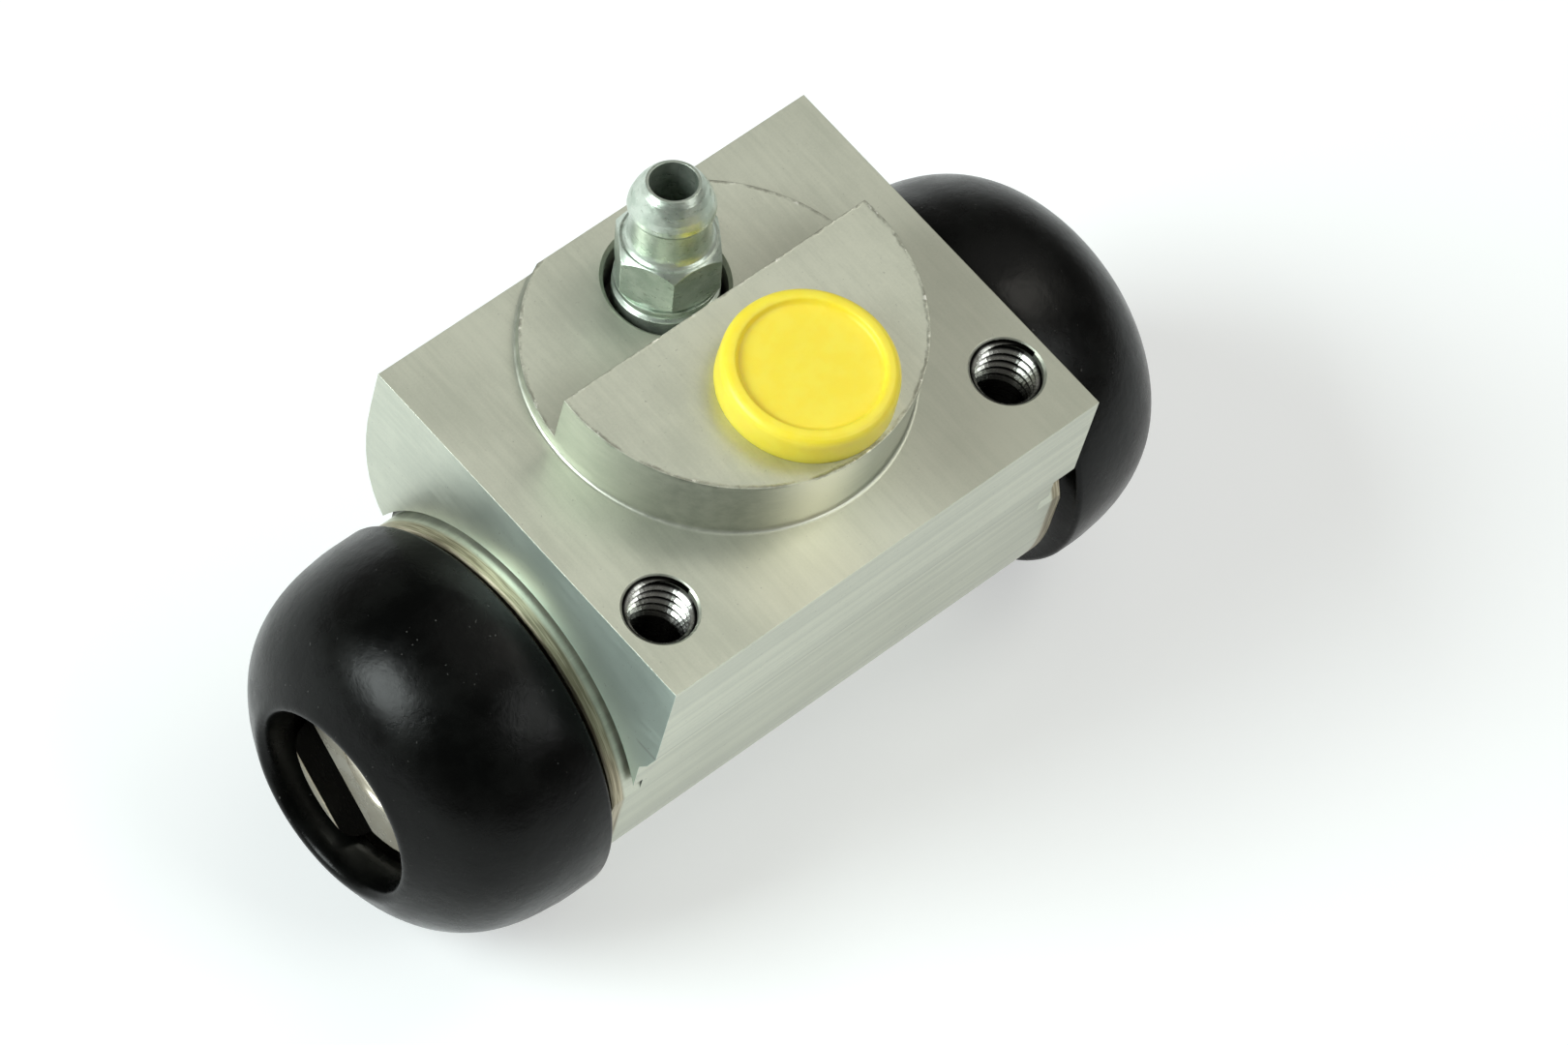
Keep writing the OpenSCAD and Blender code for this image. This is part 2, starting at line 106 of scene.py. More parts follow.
class Look:
    """One node material: add() places a node, sets its options and fills or links its inputs."""

    def __init__(self, name):
        self.material = bpy.data.materials.new(name)
        self.material.use_nodes = True
        self.tree = self.material.node_tree
        self.shader = self.tree.nodes["Principled BSDF"]
        place = self.add("ShaderNodeTexCoord").outputs["Object"]
        scaled = self.add("ShaderNodeVectorMath", {"operation": "SCALE"}, Vector=place, Scale=1 / MM)
        self.mm = scaled.outputs[0]

    def add(self, kind, options=None, **inputs):
        node = self.tree.nodes.new(kind)
        for key, value in (options or {}).items():
            setattr(node, key, value)
        for key, value in inputs.items():
            self.fill(node.inputs[key.replace("_", " ")], value)
        return node

    def fill(self, socket, value):
        if isinstance(value, bpy.types.NodeSocket):
            self.tree.links.new(value, socket)
        else:
            socket.default_value = value

    def set(self, **inputs):
        for key, value in inputs.items():
            self.fill(self.shader.inputs[key.replace("_", " ")], value)

    def math(self, operation, first, second=0.0):
        made = self.add("ShaderNodeMath", {"operation": operation})
        self.fill(made.inputs[0], first)
        self.fill(made.inputs[1], second)
        return made.outputs[0]

    def vectors(self, operation, first, second=None):
        """Outputs of a vector operation: its vector is the first, its number is called Value."""
        made = self.add("ShaderNodeVectorMath", {"operation": operation}, Vector=first)
        if second is not None:
            self.fill(made.inputs[1], second)
        return made.outputs

    def noise(self, vector, scale, detail=3.0, roughness=0.55):
        made = self.add("ShaderNodeTexNoise", Vector=vector, Scale=scale, Detail=detail, Roughness=roughness)
        return made.outputs["Fac"]

    def spots(self, scale, detail=3.0, roughness=0.55):
        """Noise that is alike in all directions, at a scale per millimetre."""
        return self.noise(self.mm, scale, detail, roughness)

    def streaks(self, stretch, detail=3.0, roughness=0.55):
        """Noise with its own scale per millimetre along each axis."""
        return self.noise(self.vectors("MULTIPLY", self.mm, stretch)[0], 1.0, detail, roughness)

    def remap(self, value, low, high, to_low=0.0, to_high=1.0):
        made = self.add("ShaderNodeMapRange", {"interpolation_type": "SMOOTHSTEP"})
        for index, number in enumerate((value, low, high, to_low, to_high)):
            self.fill(made.inputs[index], number)
        return made.outputs[0]

    def fall(self, value, low, high):
        """1 where a value is below a range, falling to 0 above it."""
        return self.remap(value, low, high, 1.0, 0.0)

    def band(self, value, middle, half):
        """1 where a value is at the middle of a band, falling to 0 at its edges."""
        off = self.math("ABSOLUTE", self.math("SUBTRACT", value, middle))
        return self.fall(off, 0.0, half)

    def all_of(self, *shares):
        product = shares[0]
        for share in shares[1:]:
            product = self.math("MULTIPLY", product, share)
        return product

    def mix(self, share, first, second):
        """Blend of two colours."""
        made = self.add("ShaderNodeMix", {"data_type": "RGBA"})
        self.fill(made.inputs[0], share)
        for index, colour in zip(MIX_COLOUR_INPUTS, (first, second)):
            self.fill(made.inputs[index], colour)
        return made.outputs[MIX_COLOUR_OUTPUT]

    def mix_number(self, share, first, second):
        """Blend of two numbers."""
        made = self.add("ShaderNodeMix")
        self.fill(made.inputs[0], share)
        for index, number in zip(MIX_NUMBER_INPUTS, (first, second)):
            self.fill(made.inputs[index], number)
        return made.outputs[0]

    def bump(self, height, depth_mm, edge_mm=0.0):
        """Relief from a height, over normals that round off sharp edges by edge_mm."""
        made = self.add("ShaderNodeBump", Height=height, Distance=depth_mm * MM)
        if edge_mm:
            edges = self.add("ShaderNodeBevel", {"samples": EDGE_SAMPLES}, Radius=edge_mm * MM)
            self.fill(made.inputs["Normal"], edges.outputs[0])
        self.fill(self.shader.inputs["Normal"], made.outputs[0])

    def place(self, axis):
        """One coordinate of a point, in millimetres."""
        return self.add("ShaderNodeSeparateXYZ", Vector=self.mm).outputs[axis]

    def near(self, centre, mirrored=False, across=(1, 1, 0)):
        """Distance in millimetres from a line through centre, upright unless across says otherwise.

        With mirrored, all coordinates count as positive, so that the line has a mirrored pair.
        """
        place = self.vectors("ABSOLUTE", self.mm)[0] if mirrored else self.mm
        offset = self.vectors("SUBTRACT", place, centre)[0]
        flat = self.vectors("MULTIPLY", offset, across)[0]
        return self.vectors("LENGTH", flat)["Value"]


def rgb(red, green, blue):
    return (red, green, blue, 1.0)


# Ranges that hold most values of a noise, for colours and for roughness
COLOUR_RANGE = (0.35, 0.65)
ROUGH_RANGE = (0.3, 0.7)
NOISE_MEAN = 0.5

# Near black of the painted shade in the holes, the recess, the reliefs and the thread roots
PAINTED_SHADE_BLACK = rgb(0.010, 0.010, 0.009)


# Aluminium of the body

FACING_X = (0.8, 0.95)
FACING_Z = (0.9, 0.99)


def facing(look):
    """How far a surface faces along X and along Z, each from 0 to 1."""
    normal = look.add("ShaderNodeNewGeometry").outputs["True Normal"]
    split = look.add("ShaderNodeSeparateXYZ", Vector=normal)
    along_x = look.remap(look.math("ABSOLUTE", split.outputs["X"]), *FACING_X)
    along_z = look.remap(look.math("ABSOLUTE", split.outputs["Z"]), *FACING_Z)
    return along_x, along_z


WEAR_BREAKS = (0.36, 0.60)
WEAR_RAGGED = 0.55
WEAR_INSET = 0.12
WEAR_RIM_HALF = 0.26
WEAR_STEP_HALF = 0.22
WEAR_LEVEL_HALF = 0.4
WEAR_LOW_Y = (BOSS_STEP_Y, BOSS_STEP_Y + 1)


def edge_wear(look):
    """Burrs and chips along the rims of the boss's two levels and along its step, broken up by noise."""
    broken = look.remap(look.spots(0.5, 5.0, 0.7), *WEAR_BREAKS)
    ragged = look.math("MULTIPLY", look.math("SUBTRACT", look.spots(1.3, 4.0), NOISE_MEAN), WEAR_RAGGED)
    height, depth = look.place("Z"), look.place("Y")
    rim = look.band(look.math("ADD", look.near(BOSS_AT), ragged), BOSS_R - WEAR_INSET, WEAR_RIM_HALF)
    step = look.band(look.math("ADD", depth, ragged), BOSS_STEP_Y, WEAR_STEP_HALF)
    high = look.all_of(look.math("MAXIMUM", rim, step), look.band(height, HIGH_LEVEL, WEAR_LEVEL_HALF))
    low = look.all_of(rim, look.band(height, LOW_LEVEL, WEAR_LEVEL_HALF), look.remap(depth, *WEAR_LOW_Y))
    return look.all_of(look.math("MAXIMUM", high, low), broken)


SHADE_FOOT = (-12.0, -11.5)
BOLT_SHADE_R = (BOLT_R + 0.02, BOLT_R + 0.12)
BOLT_SHADE_Z = (-1.1, -0.6)
RECESS_SHADE_R = (RECESS_R - 0.1, RECESS_R + 0.2)
RECESS_SHADE_Z = (-2.2, -0.4)
RELIEF_R = SHOULDER_R + 0.25
RELIEF_HALF = 0.5
RELIEF_OUTER_X = (END_X - 0.3, END_X - 0.02)
RELIEF_INNER_X = (END_X - 1.5, END_X - 1.2)


def hole_shade(look):
    """Painted shade, near black, in the bolt holes, round the bleed screw and in the relief by each shoulder.
    """
    height, across = look.place("Z"), look.math("ABSOLUTE", look.place("X"))
    upper = look.remap(height, *SHADE_FOOT)
    bolt = look.all_of(look.fall(look.near((BOLT_X, 0, 0), True), *BOLT_SHADE_R),
                       look.fall(height, *BOLT_SHADE_Z), upper)
    recess = look.all_of(look.fall(look.near(BLEED_AT), *RECESS_SHADE_R),
                         look.fall(height, *RECESS_SHADE_Z), upper)
    from_axis = look.near((0, AXIS_Y, AXIS_Z), across=(0, 1, 1))
    relief = look.all_of(look.band(from_axis, RELIEF_R, RELIEF_HALF), look.fall(across, *RELIEF_OUTER_X),
                         look.remap(across, *RELIEF_INNER_X), facing(look)[0])
    return look.math("MAXIMUM", look.math("MAXIMUM", bolt, recess), relief)


FLANK_SHADE_HALF = 0.28
FLANK_SHADE_Y = (-4.6, -4.0)


def flank_foot_shade(look):
    """Painted shade: a dark line along the foot of the upright flank."""
    front = look.fall(look.place("Y"), *FLANK_SHADE_Y)
    return look.all_of(look.band(look.place("Z"), FLANK_FOOT, FLANK_SHADE_HALF), front)


LEVEL_HALF = 0.3
# Painted shade over the right half of the plate's top, strongest towards the front
RIGHT_SHADE_X = (0.0, 11.0)
RIGHT_SHADE_Y = (12.0, 22.0)
RIGHT_SHADE_BACK = 0.2
# Painted pool of light on the plate's top near its front left corner
FRONT_LIGHT_AT = (-7.0, -3.5, 0)
FRONT_LIGHT_REACH = (2.0, 9.0)
# Painted shade on the low level beside the step, fading away from it
STEP_SHADE_Y = (BOSS_STEP_Y + 0.5, BOSS_STEP_Y + 6.0)
# Painted cool reflection on the end faces, stronger towards the front
END_REFLECTION_X = (END_X - 1.5, END_X - 0.5)
END_REFLECTION_Y = (6.0, 24.0)
END_REFLECTION_BACK = 0.1


def plate_tones(look, along_x, along_z):
    """Broad changes of tone, all painted light and shade: a darker right half of the top, a lighter front, a
    darker foot of the step and a cool reflection on the ends.

    Each is given as its place, its strength and its colour.
    """
    height, depth, across = look.place("Z"), look.place("Y"), look.place("X")
    face = look.all_of(along_z, look.band(height, 0.0, LEVEL_HALF))
    right_shade = look.all_of(face, look.remap(across, *RIGHT_SHADE_X), look.remap(depth, *RIGHT_SHADE_Y, 1.0, RIGHT_SHADE_BACK))
    bright = look.all_of(face, look.fall(look.near(FRONT_LIGHT_AT), *FRONT_LIGHT_REACH))
    step_shade = look.all_of(along_z, look.band(height, LOW_LEVEL, LEVEL_HALF), look.fall(depth, *STEP_SHADE_Y))
    end_reflection = look.all_of(along_x, look.remap(depth, *END_REFLECTION_Y, 1.0, END_REFLECTION_BACK),
                       look.remap(look.math("ABSOLUTE", across), *END_REFLECTION_X))
    return [(right_shade, 0.40, rgb(0.20, 0.205, 0.17)), (bright, 0.35, rgb(0.86, 0.84, 0.66)),
            (step_shade, 0.32, rgb(0.17, 0.17, 0.135)), (end_reflection, 0.75, rgb(0.70, 0.85, 0.78))]


# Painted shade on the boss's wall and a painted highlight, the glint, in front of it
WALL_HALF = 0.25
WALL_Z = (0.0, 0.1)
GLINT_X = -3.5
GLINT_HALF = 6.0
GLINT_Y = (4.0, 8.0)


def wall_tones(look, along_z):
    """Painted shade on the boss's wall and a painted highlight in front of it, each as its place, strength
    and colour.
    """
    wall_shade = look.all_of(look.band(look.near(BOSS_AT), BOSS_R, WALL_HALF), look.remap(look.place("Z"), *WALL_Z),
                       look.math("SUBTRACT", 1.0, along_z))
    glint = look.all_of(wall_shade, look.band(look.place("X"), GLINT_X, GLINT_HALF),
                        look.fall(look.place("Y"), *GLINT_Y))
    return [(wall_shade, 0.30, rgb(0.10, 0.105, 0.09)), (glint, 0.75, rgb(0.95, 0.91, 0.74))]


STAIN_X = (END_X + 0.5, END_X + 0.9)
GRIT_RANGE = (0.70, 0.76)
CHIP_RANGE = (0.56, 0.66)


def surface_marks(look, wear):
    """Painted shade along the flank's foot, stained spigots, grit, worn edges and painted shade in the holes,
    each as its place, strength and colour.
    """
    stain = look.remap(look.math("ABSOLUTE", look.place("X")), *STAIN_X)
    rings = look.streaks((7.0, 0.3, 0.3), 2.0)
    tan = look.mix(look.remap(rings, *COLOUR_RANGE), rgb(0.25, 0.22, 0.15), rgb(0.50, 0.45, 0.33))
    grit = look.remap(look.spots(3.0, 2.0), *GRIT_RANGE)
    chips = look.remap(look.spots(1.1), *CHIP_RANGE)
    chipped = look.mix(chips, rgb(0.22, 0.22, 0.18), rgb(0.9, 0.9, 0.84))
    return [(flank_foot_shade(look), 0.30, rgb(0.20, 0.205, 0.18)), (stain, 1.0, tan),
            (grit, 0.5, rgb(0.30, 0.31, 0.27)), (wear, 0.75, chipped), (hole_shade(look), 0.95, PAINTED_SHADE_BLACK)]


# Shares of the streaks and of the cloud in the aluminium's tone, on rounded and on flat faces
STREAK_SHARES = (0.75, 0.35)
CLOUD_SHARES = (0.25, 0.65)
GRAIN_SHARE = 0.16
TONE_RANGE = (0.34, 0.66)
WEAR_RELIEF = 3.0


def milled_aluminium():
    """Drawn bar with milled faces: faint streaks across the faces, die lines along the flanks, sawn ends."""
    look = Look("milled_aluminium")
    along_x, along_z = facing(look)
    drawn = look.streaks((0.012, 1.3, 1.3), 5.0, 0.65)
    milled = look.streaks((1.6, 0.12, 1.0), 5.0, 0.65)
    sawn = look.streaks((1.0, 0.3, 2.0), 4.0)
    streaks = look.mix_number(along_z, look.mix_number(along_x, drawn, sawn), milled)
    cloud = look.spots(0.09, 4.0)
    grain = look.math("SUBTRACT", look.spots(5.0, 2.0), NOISE_MEAN)
    flat = look.math("MAXIMUM", along_x, along_z)
    tone = look.math("ADD", look.math("MULTIPLY", streaks, look.mix_number(flat, *STREAK_SHARES)),
                     look.math("MULTIPLY", cloud, look.mix_number(flat, *CLOUD_SHARES)))
    tone = look.math("ADD", tone, look.math("MULTIPLY", grain, GRAIN_SHARE))
    wear = edge_wear(look)
    colour = look.mix(look.remap(tone, *TONE_RANGE), rgb(0.52, 0.545, 0.46), rgb(0.65, 0.67, 0.57))
    # Painted light and shade over the metal's colour, besides its stains, grit and wear
    layers = plate_tones(look, along_x, along_z) + wall_tones(look, along_z) + surface_marks(look, wear)
    for where, strength, over in layers:
        colour = look.mix(look.all_of(where, strength), colour, over)
    look.set(Base_Color=colour, Metallic=0.82, Roughness=look.remap(tone, *ROUGH_RANGE, 0.35, 0.45))
    look.bump(look.math("ADD", streaks, look.math("MULTIPLY", wear, WEAR_RELIEF)), 0.007, 0.06)
    return look.material


# Other metals

# Painted shade in the thread's roots, as shares of its depth, and far down the hole, in millimetres
ROOT_SHARES = (0.25, 0.7)
THREAD_DEEP_Z = (-6.0, -2.2)


def cut_thread(name, places, radius, crest):
    """Bright cut thread, with painted shade in its roots and painted black shade far down the hole."""
    look = Look(name)
    root = look.remap(look.near(places, True), *(crest + share * (radius - crest) for share in ROOT_SHARES))
    deep = look.fall(look.place("Z"), *THREAD_DEEP_Z)
    skin = look.spots(1.5, 4.0)
    bright = look.mix(look.remap(skin, *COLOUR_RANGE), rgb(0.74, 0.75, 0.70), rgb(0.86, 0.86, 0.82))
    look.set(Base_Color=look.mix(look.math("MAXIMUM", root, deep), bright, PAINTED_SHADE_BLACK))
    look.set(Metallic=1.0, Roughness=look.remap(skin, *ROUGH_RANGE, 0.18, 0.28))
    return look.material


SLOT_WALL = (0.04, 0.07)
SLOT_RIM_X = (NOSE_TIP - 0.12, NOSE_TIP - 0.05)


def slot_shade(look):
    """Painted shade, near black, on the two walls of a piston's slot."""
    offset = look.vectors("SUBTRACT", look.mm, (0, AXIS_Y, AXIS_Z))[0]
    sideways = (0, math.sin(SLOT_TURN), -math.cos(SLOT_TURN))
    across = look.vectors("DOT_PRODUCT", offset, sideways)["Value"]
    off_wall = look.math("SUBTRACT", look.math("ABSOLUTE", across), SLOT_HALF)
    wall_shade = look.fall(look.math("ABSOLUTE", off_wall), *SLOT_WALL)
    return look.all_of(wall_shade, look.fall(look.math("ABSOLUTE", look.place("X")), *SLOT_RIM_X))


def turned_metal(name, dark, light, roughness, grooves, slotted=False):
    """Turned or drawn metal: fine rings that change along X, over a soft cloud."""
    look = Look(name)
    rings = look.streaks((grooves, 0.02, 0.02))
    cloud = look.spots(0.35)
    tone = look.math("ADD", look.math("MULTIPLY", rings, 0.5), look.math("MULTIPLY", cloud, 0.5))
    colour = look.mix(look.remap(tone, *COLOUR_RANGE), dark, light)
    if slotted:
        # Painted shade, near black, on the walls of the slot
        colour = look.mix(slot_shade(look), colour, rgb(0.004, 0.004, 0.004))
    look.set(Base_Color=colour, Metallic=0.6 if slotted else 1.0, Specular_IOR_Level=0.15)
    look.set(Roughness=look.remap(tone, *ROUGH_RANGE, *roughness))
    look.bump(rings, 0.01)
    return look.material


SCRAPE_RANGE = (0.58, 0.68)
SCRAPE_SHARE = 0.6
SCRAPE_RELIEF = 3.0


def zinc_plate():
    """Zinc plating gone slightly green: fine turning rings, handling marks and darker patches."""
    look = Look("zinc_plate")
    rings = look.streaks((0.05, 0.05, 7.0))
    cloud = look.spots(0.6, 5.0, 0.65)
    marks = look.streaks((0.7, 0.7, 2.2), 4.0, 0.7)
    colour = look.mix(look.remap(cloud, *COLOUR_RANGE), rgb(0.45, 0.525, 0.45), rgb(0.60, 0.66, 0.585))
    scrapes = look.all_of(look.remap(marks, *SCRAPE_RANGE), SCRAPE_SHARE)
    look.set(Base_Color=look.mix(scrapes, colour, rgb(0.22, 0.26, 0.20)), Metallic=0.85)
    look.set(Roughness=look.remap(marks, *ROUGH_RANGE, 0.26, 0.42))
    look.bump(look.math("ADD", rings, look.math("MULTIPLY", marks, SCRAPE_RELIEF)), 0.012, 0.10)
    return look.material


# Rubber and plastic

SPECK_RANGE = (0.76, 0.80)
MARK_RANGE = (0.35, 0.7)
RUBBER_GRAIN = 0.12
PLASTIC_GRAIN = 0.25


def moulded_rubber(name, dark, light, roughness):
    """Black rubber: fine grain, faint handling marks and a few grains of dust."""
    look = Look(name)
    grain = look.spots(9.0)
    marks = look.spots(0.22, 4.0, 0.6)
    specks = look.remap(look.spots(2.4, 1.0), *SPECK_RANGE)
    smooth = look.mix(look.remap(marks, *MARK_RANGE), dark, light)
    look.set(Base_Color=look.mix(specks, smooth, rgb(0.05, 0.05, 0.047)))
    look.set(Roughness=look.remap(marks, *ROUGH_RANGE, *roughness), IOR=1.5, Specular_IOR_Level=0.15)
    look.bump(look.math("ADD", look.math("MULTIPLY", grain, RUBBER_GRAIN), marks), 0.10)
    return look.material


def yellow_plastic():
    """Moulded polyethylene: soft gloss, slightly translucent, with a faint uneven skin."""
    look = Look("yellow_plastic")
    skin = look.spots(0.6, 4.0)
    grain = look.spots(6.0, 2.0)
    colour = look.mix(look.remap(skin, *COLOUR_RANGE), rgb(0.98, 0.765, 0.050), rgb(0.99, 0.80, 0.070))
    look.set(Base_Color=colour, IOR=1.51, Subsurface_Weight=0.35, Subsurface_Scale=1.6 * MM)
    look.set(Subsurface_Radius=(1.0, 0.7, 0.1), Roughness=look.remap(skin, *ROUGH_RANGE, 0.34, 0.46))
    look.bump(look.math("ADD", skin, look.math("MULTIPLY", grain, PLASTIC_GRAIN)), 0.02, 0.2)
    return look.material


LOOKS = {
    "cylinder_body": milled_aluminium(),
    "piston": turned_metal("turned_piston", rgb(0.63, 0.57, 0.45), rgb(0.80, 0.76, 0.66),
                           roughness=(0.20, 0.32), grooves=3.0, slotted=True),
    "cup_seal": moulded_rubber("cup_rubber", rgb(0.012, 0.012, 0.013), rgb(0.02, 0.02, 0.02),
                               roughness=(0.35, 0.5)),
    "spring_seat": turned_metal("pressed_steel", rgb(0.36, 0.37, 0.36), rgb(0.48, 0.48, 0.46),
                                roughness=(0.25, 0.4), grooves=0.4),
    "return_spring": turned_metal("spring_steel", rgb(0.30, 0.31, 0.32), rgb(0.44, 0.45, 0.46),
                                  roughness=(0.25, 0.4), grooves=2.0),
    "boot": moulded_rubber("boot_rubber", rgb(0.0010, 0.0012, 0.0011), rgb(0.003, 0.0034, 0.003),
                           roughness=(0.20, 0.32)),
    "bleed_screw": zinc_plate(),
    "inlet_plug": yellow_plastic(),
}


def look_for(name):
    """The finish of a node: its own, or that of its kind without the side in front."""
    return LOOKS.get(name) or LOOKS[name.split("_", 1)[1]]


def dress_frame():
    for name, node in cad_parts.items():
        node.data.materials.clear()
        node.data.materials.append(look_for(name))


# Meshes

def make_piece(name, points, faces, material, smooth=True):
    """A piece from points in millimetres and faces, with its normals turned outwards."""
    mesh = bpy.data.meshes.new(name)
    mesh.from_pydata([Vector(point) * MM for point in points], [], faces)
    mesh.materials.append(material)
    piece = bpy.data.objects.new(name, mesh)
    bpy.context.collection.objects.link(piece)
    shell = bmesh.new()
    shell.from_mesh(mesh)
    bmesh.ops.recalc_face_normals(shell, faces=shell.faces)
    shell.to_mesh(mesh)
    shell.free()
    mesh.polygons.foreach_set("use_smooth", [smooth] * len(mesh.polygons))
    return piece


def grid_faces(rows, columns, close_rows, close_columns):
    """Quads of a grid of points, closed round in either direction."""
    faces = []
    for row in range(rows if close_rows else rows - 1):
        for column in range(columns if close_columns else columns - 1):
            next_row, next_column = (row + 1) % rows, (column + 1) % columns
            faces.append((row * columns + column, next_row * columns + column,
                          next_row * columns + next_column, row * columns + next_column))
    return faces


def bezier(points, steps):
    """Points of a cubic curve from four control points, without its last point."""
    made = []
    for step in range(steps):
        t = step / steps
        weights = ((1 - t) ** 3, 3 * t * (1 - t) ** 2, 3 * t * t * (1 - t), t ** 3)
        made.append(tuple(sum(w * p[axis] for w, p in zip(weights, points)) for axis in (0, 1)))
    return made


def moved(start, offsets):
    """Points at offsets from a start."""
    return [(start[0] + offset[0], start[1] + offset[1]) for offset in offsets]


# Rubber boots: sizes in millimetres, sets measured from the boot's back or front

BOOT_SEGMENTS = 112
BOOT_WALL = 2.0
BOOT_RING_R = 9.15
LIP_R = 8.1
LIP_FRONT_SET = 2.7
LIP_BACK_SET = 3.9
LIP_FOOT = 0.7
BEAD_R = 13.4
BEAD_FACE = 1.1
FLANGE_FACE = 1.2
FLANGE_SET = {-1: 0.4, 1: 1.3}
CROWN_SET = 3.0
OVER_RIM_R = 14.3
RIM_START = 27.4
INSIDE_START = 29.4
INSIDE_SET = 0.2

# Control points of the boot's curves, as offsets in millimetres or as shares of the dome's length
FLANGE_CURVE = ((0, -0.45), (0.02, -0.15), (0.2, 0), (0.6, 0))
FLANGE_STEPS = 6
DOME_SHARES = (0.7, 0.854)
DOME_DROPS = (0.15, 4.3)
DOME_STEPS = 26
RING_OFFSET = (-0.15, 0.2)
MOUTH_CURVE = (0.41, -0.7)
MOUTH_DROP = 1
MOUTH_STEPS = 16
INSIDE_LIP_SHARE = 0.9
INSIDE_OFFSET = (-0.8, 2.6)
INSIDE_SHARE = 0.45
INSIDE_STEPS = 18


def boot_profile(flange_set):
    """Closed outline of a boot as (along the bore, radius), round the outside and back inside."""
    radius = (boot_high.z - boot_low.z) / 2
    back, front = boot_low.x, boot_high.x
    flange = back + flange_set
    crown = back + CROWN_SET
    dome = front - crown
    ring = (front + RING_OFFSET[0], BOOT_RING_R + RING_OFFSET[1])
    lip_front, lip_back = front - LIP_FRONT_SET, front - LIP_BACK_SET
    inside_r = radius - BOOT_WALL - INSIDE_SET
    dome_pulls = [(crown + dome * share, radius - drop) for share, drop in zip(DOME_SHARES, DOME_DROPS)]
    mouth_pulls = [(front + MOUTH_CURVE[0], BOOT_RING_R - MOUTH_DROP), (front + MOUTH_CURVE[1], LIP_R)]
    inside_pulls = [(front - BOOT_WALL + INSIDE_OFFSET[0], BOOT_RING_R + INSIDE_OFFSET[1]),
                    (INSIDE_START + dome * INSIDE_SHARE, inside_r)]
    inside_lip = (lip_front, LIP_R + BOOT_WALL * INSIDE_LIP_SHARE)
    outline = [(back, BEAD_R), (back, BEAD_R + BEAD_FACE), (flange, BEAD_R + FLANGE_FACE)]
    outline += bezier(moved((flange, radius), FLANGE_CURVE), FLANGE_STEPS)
    outline += bezier([(crown, radius)] + dome_pulls + [ring], DOME_STEPS)
    outline += bezier([ring] + mouth_pulls + [(lip_front, LIP_R)], MOUTH_STEPS)
    outline += [(lip_front, LIP_R), (lip_back, LIP_R), (lip_back, LIP_R + LIP_FOOT)]
    outline += bezier([inside_lip] + inside_pulls + [(INSIDE_START, inside_r)], INSIDE_STEPS)
    outline += [(INSIDE_START, inside_r), (INSIDE_START, OVER_RIM_R), (RIM_START, OVER_RIM_R)]
    outline += [(RIM_START, BEAD_R)]
    return outline


# Unevenness of the rubber: depth, fade and start in millimetres, and the scale of its waves
UNEVEN = 0.07
UNEVEN_FADE = 4
UNEVEN_START = RIM_START + 1.5
WAVE_ROUND = 1.4
WAVE_ALONG = 0.12
WAVE_SHIFT = 7
WAVE_RAISE = 0.5


def make_boot(name, side):
    """Soft rubber boot, turned about the bore in place of the imported one."""
    outline = boot_profile(FLANGE_SET[side])
    points = []
    for step in range(BOOT_SEGMENTS):
        angle = TURN * step / BOOT_SEGMENTS
        for along, radius in outline:
            outer = min(1.0, max(0.0, (radius - OVER_RIM_R + UNEVEN_FADE) / UNEVEN_FADE))
            soft = outer * (along > UNEVEN_START)
            wave = noise.noise((math.cos(angle) * WAVE_ROUND, math.sin(angle) * WAVE_ROUND,
                                along * WAVE_ALONG + side * WAVE_SHIFT))
            bent = radius - UNEVEN * soft * max(0.0, WAVE_RAISE + wave)
            points.append((side * along, AXIS_Y + bent * math.cos(angle), AXIS_Z + bent * math.sin(angle)))
    faces = grid_faces(BOOT_SEGMENTS, len(outline), True, True)
    boot = make_piece(name + "_rubber", points, faces, LOOKS["boot"])
    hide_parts(name)
    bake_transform(boot)


# Threads in the bolt holes and in the inlet: sizes in millimetres, each thread as (root radius, crest radius)

THREAD_PITCH = 1.0
THREAD_STEPS = 48
THREAD_HALF = 0.44
THREAD_CREST_HALF = 0.07
THREAD_FADE = 4
THREAD_MOUTH = 0.27
BOLT_THREAD = (2.99, 2.52)
BOLT_THREAD_TOP = 0.25
BOLT_TURNS = 11
INLET_THREAD = (4.99, 4.76)
INLET_THREAD_TOP = HIGH_LEVEL - 0.3
INLET_TURNS = 9


def make_thread(name, centre, radius, crest, top, turns, material):
    """Helical ridge that stands on the wall of a threaded hole and fades out at both ends."""
    ridge = ((-THREAD_HALF, radius), (-THREAD_CREST_HALF, crest),
             (THREAD_CREST_HALF, crest), (THREAD_HALF, radius))
    points = []
    rows = turns * THREAD_STEPS + 1
    for row in range(rows):
        turn = row / THREAD_STEPS
        fade = min(1.0, turn * THREAD_FADE, (turns - turn) * THREAD_FADE)
        angle = turn * TURN
        middle = top - (turn + 0.5) * THREAD_PITCH
        for height, ridge_r in ridge:
            reach = radius - (radius - ridge_r) * fade
            points.append((centre[0] + reach * math.cos(angle), centre[1] + reach * math.sin(angle),
                           min(middle + height, top - THREAD_MOUTH)))
    faces = grid_faces(rows, len(ridge), False, True)
    thread = make_piece(name, points, faces, material, smooth=False)
    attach(thread, "housing")


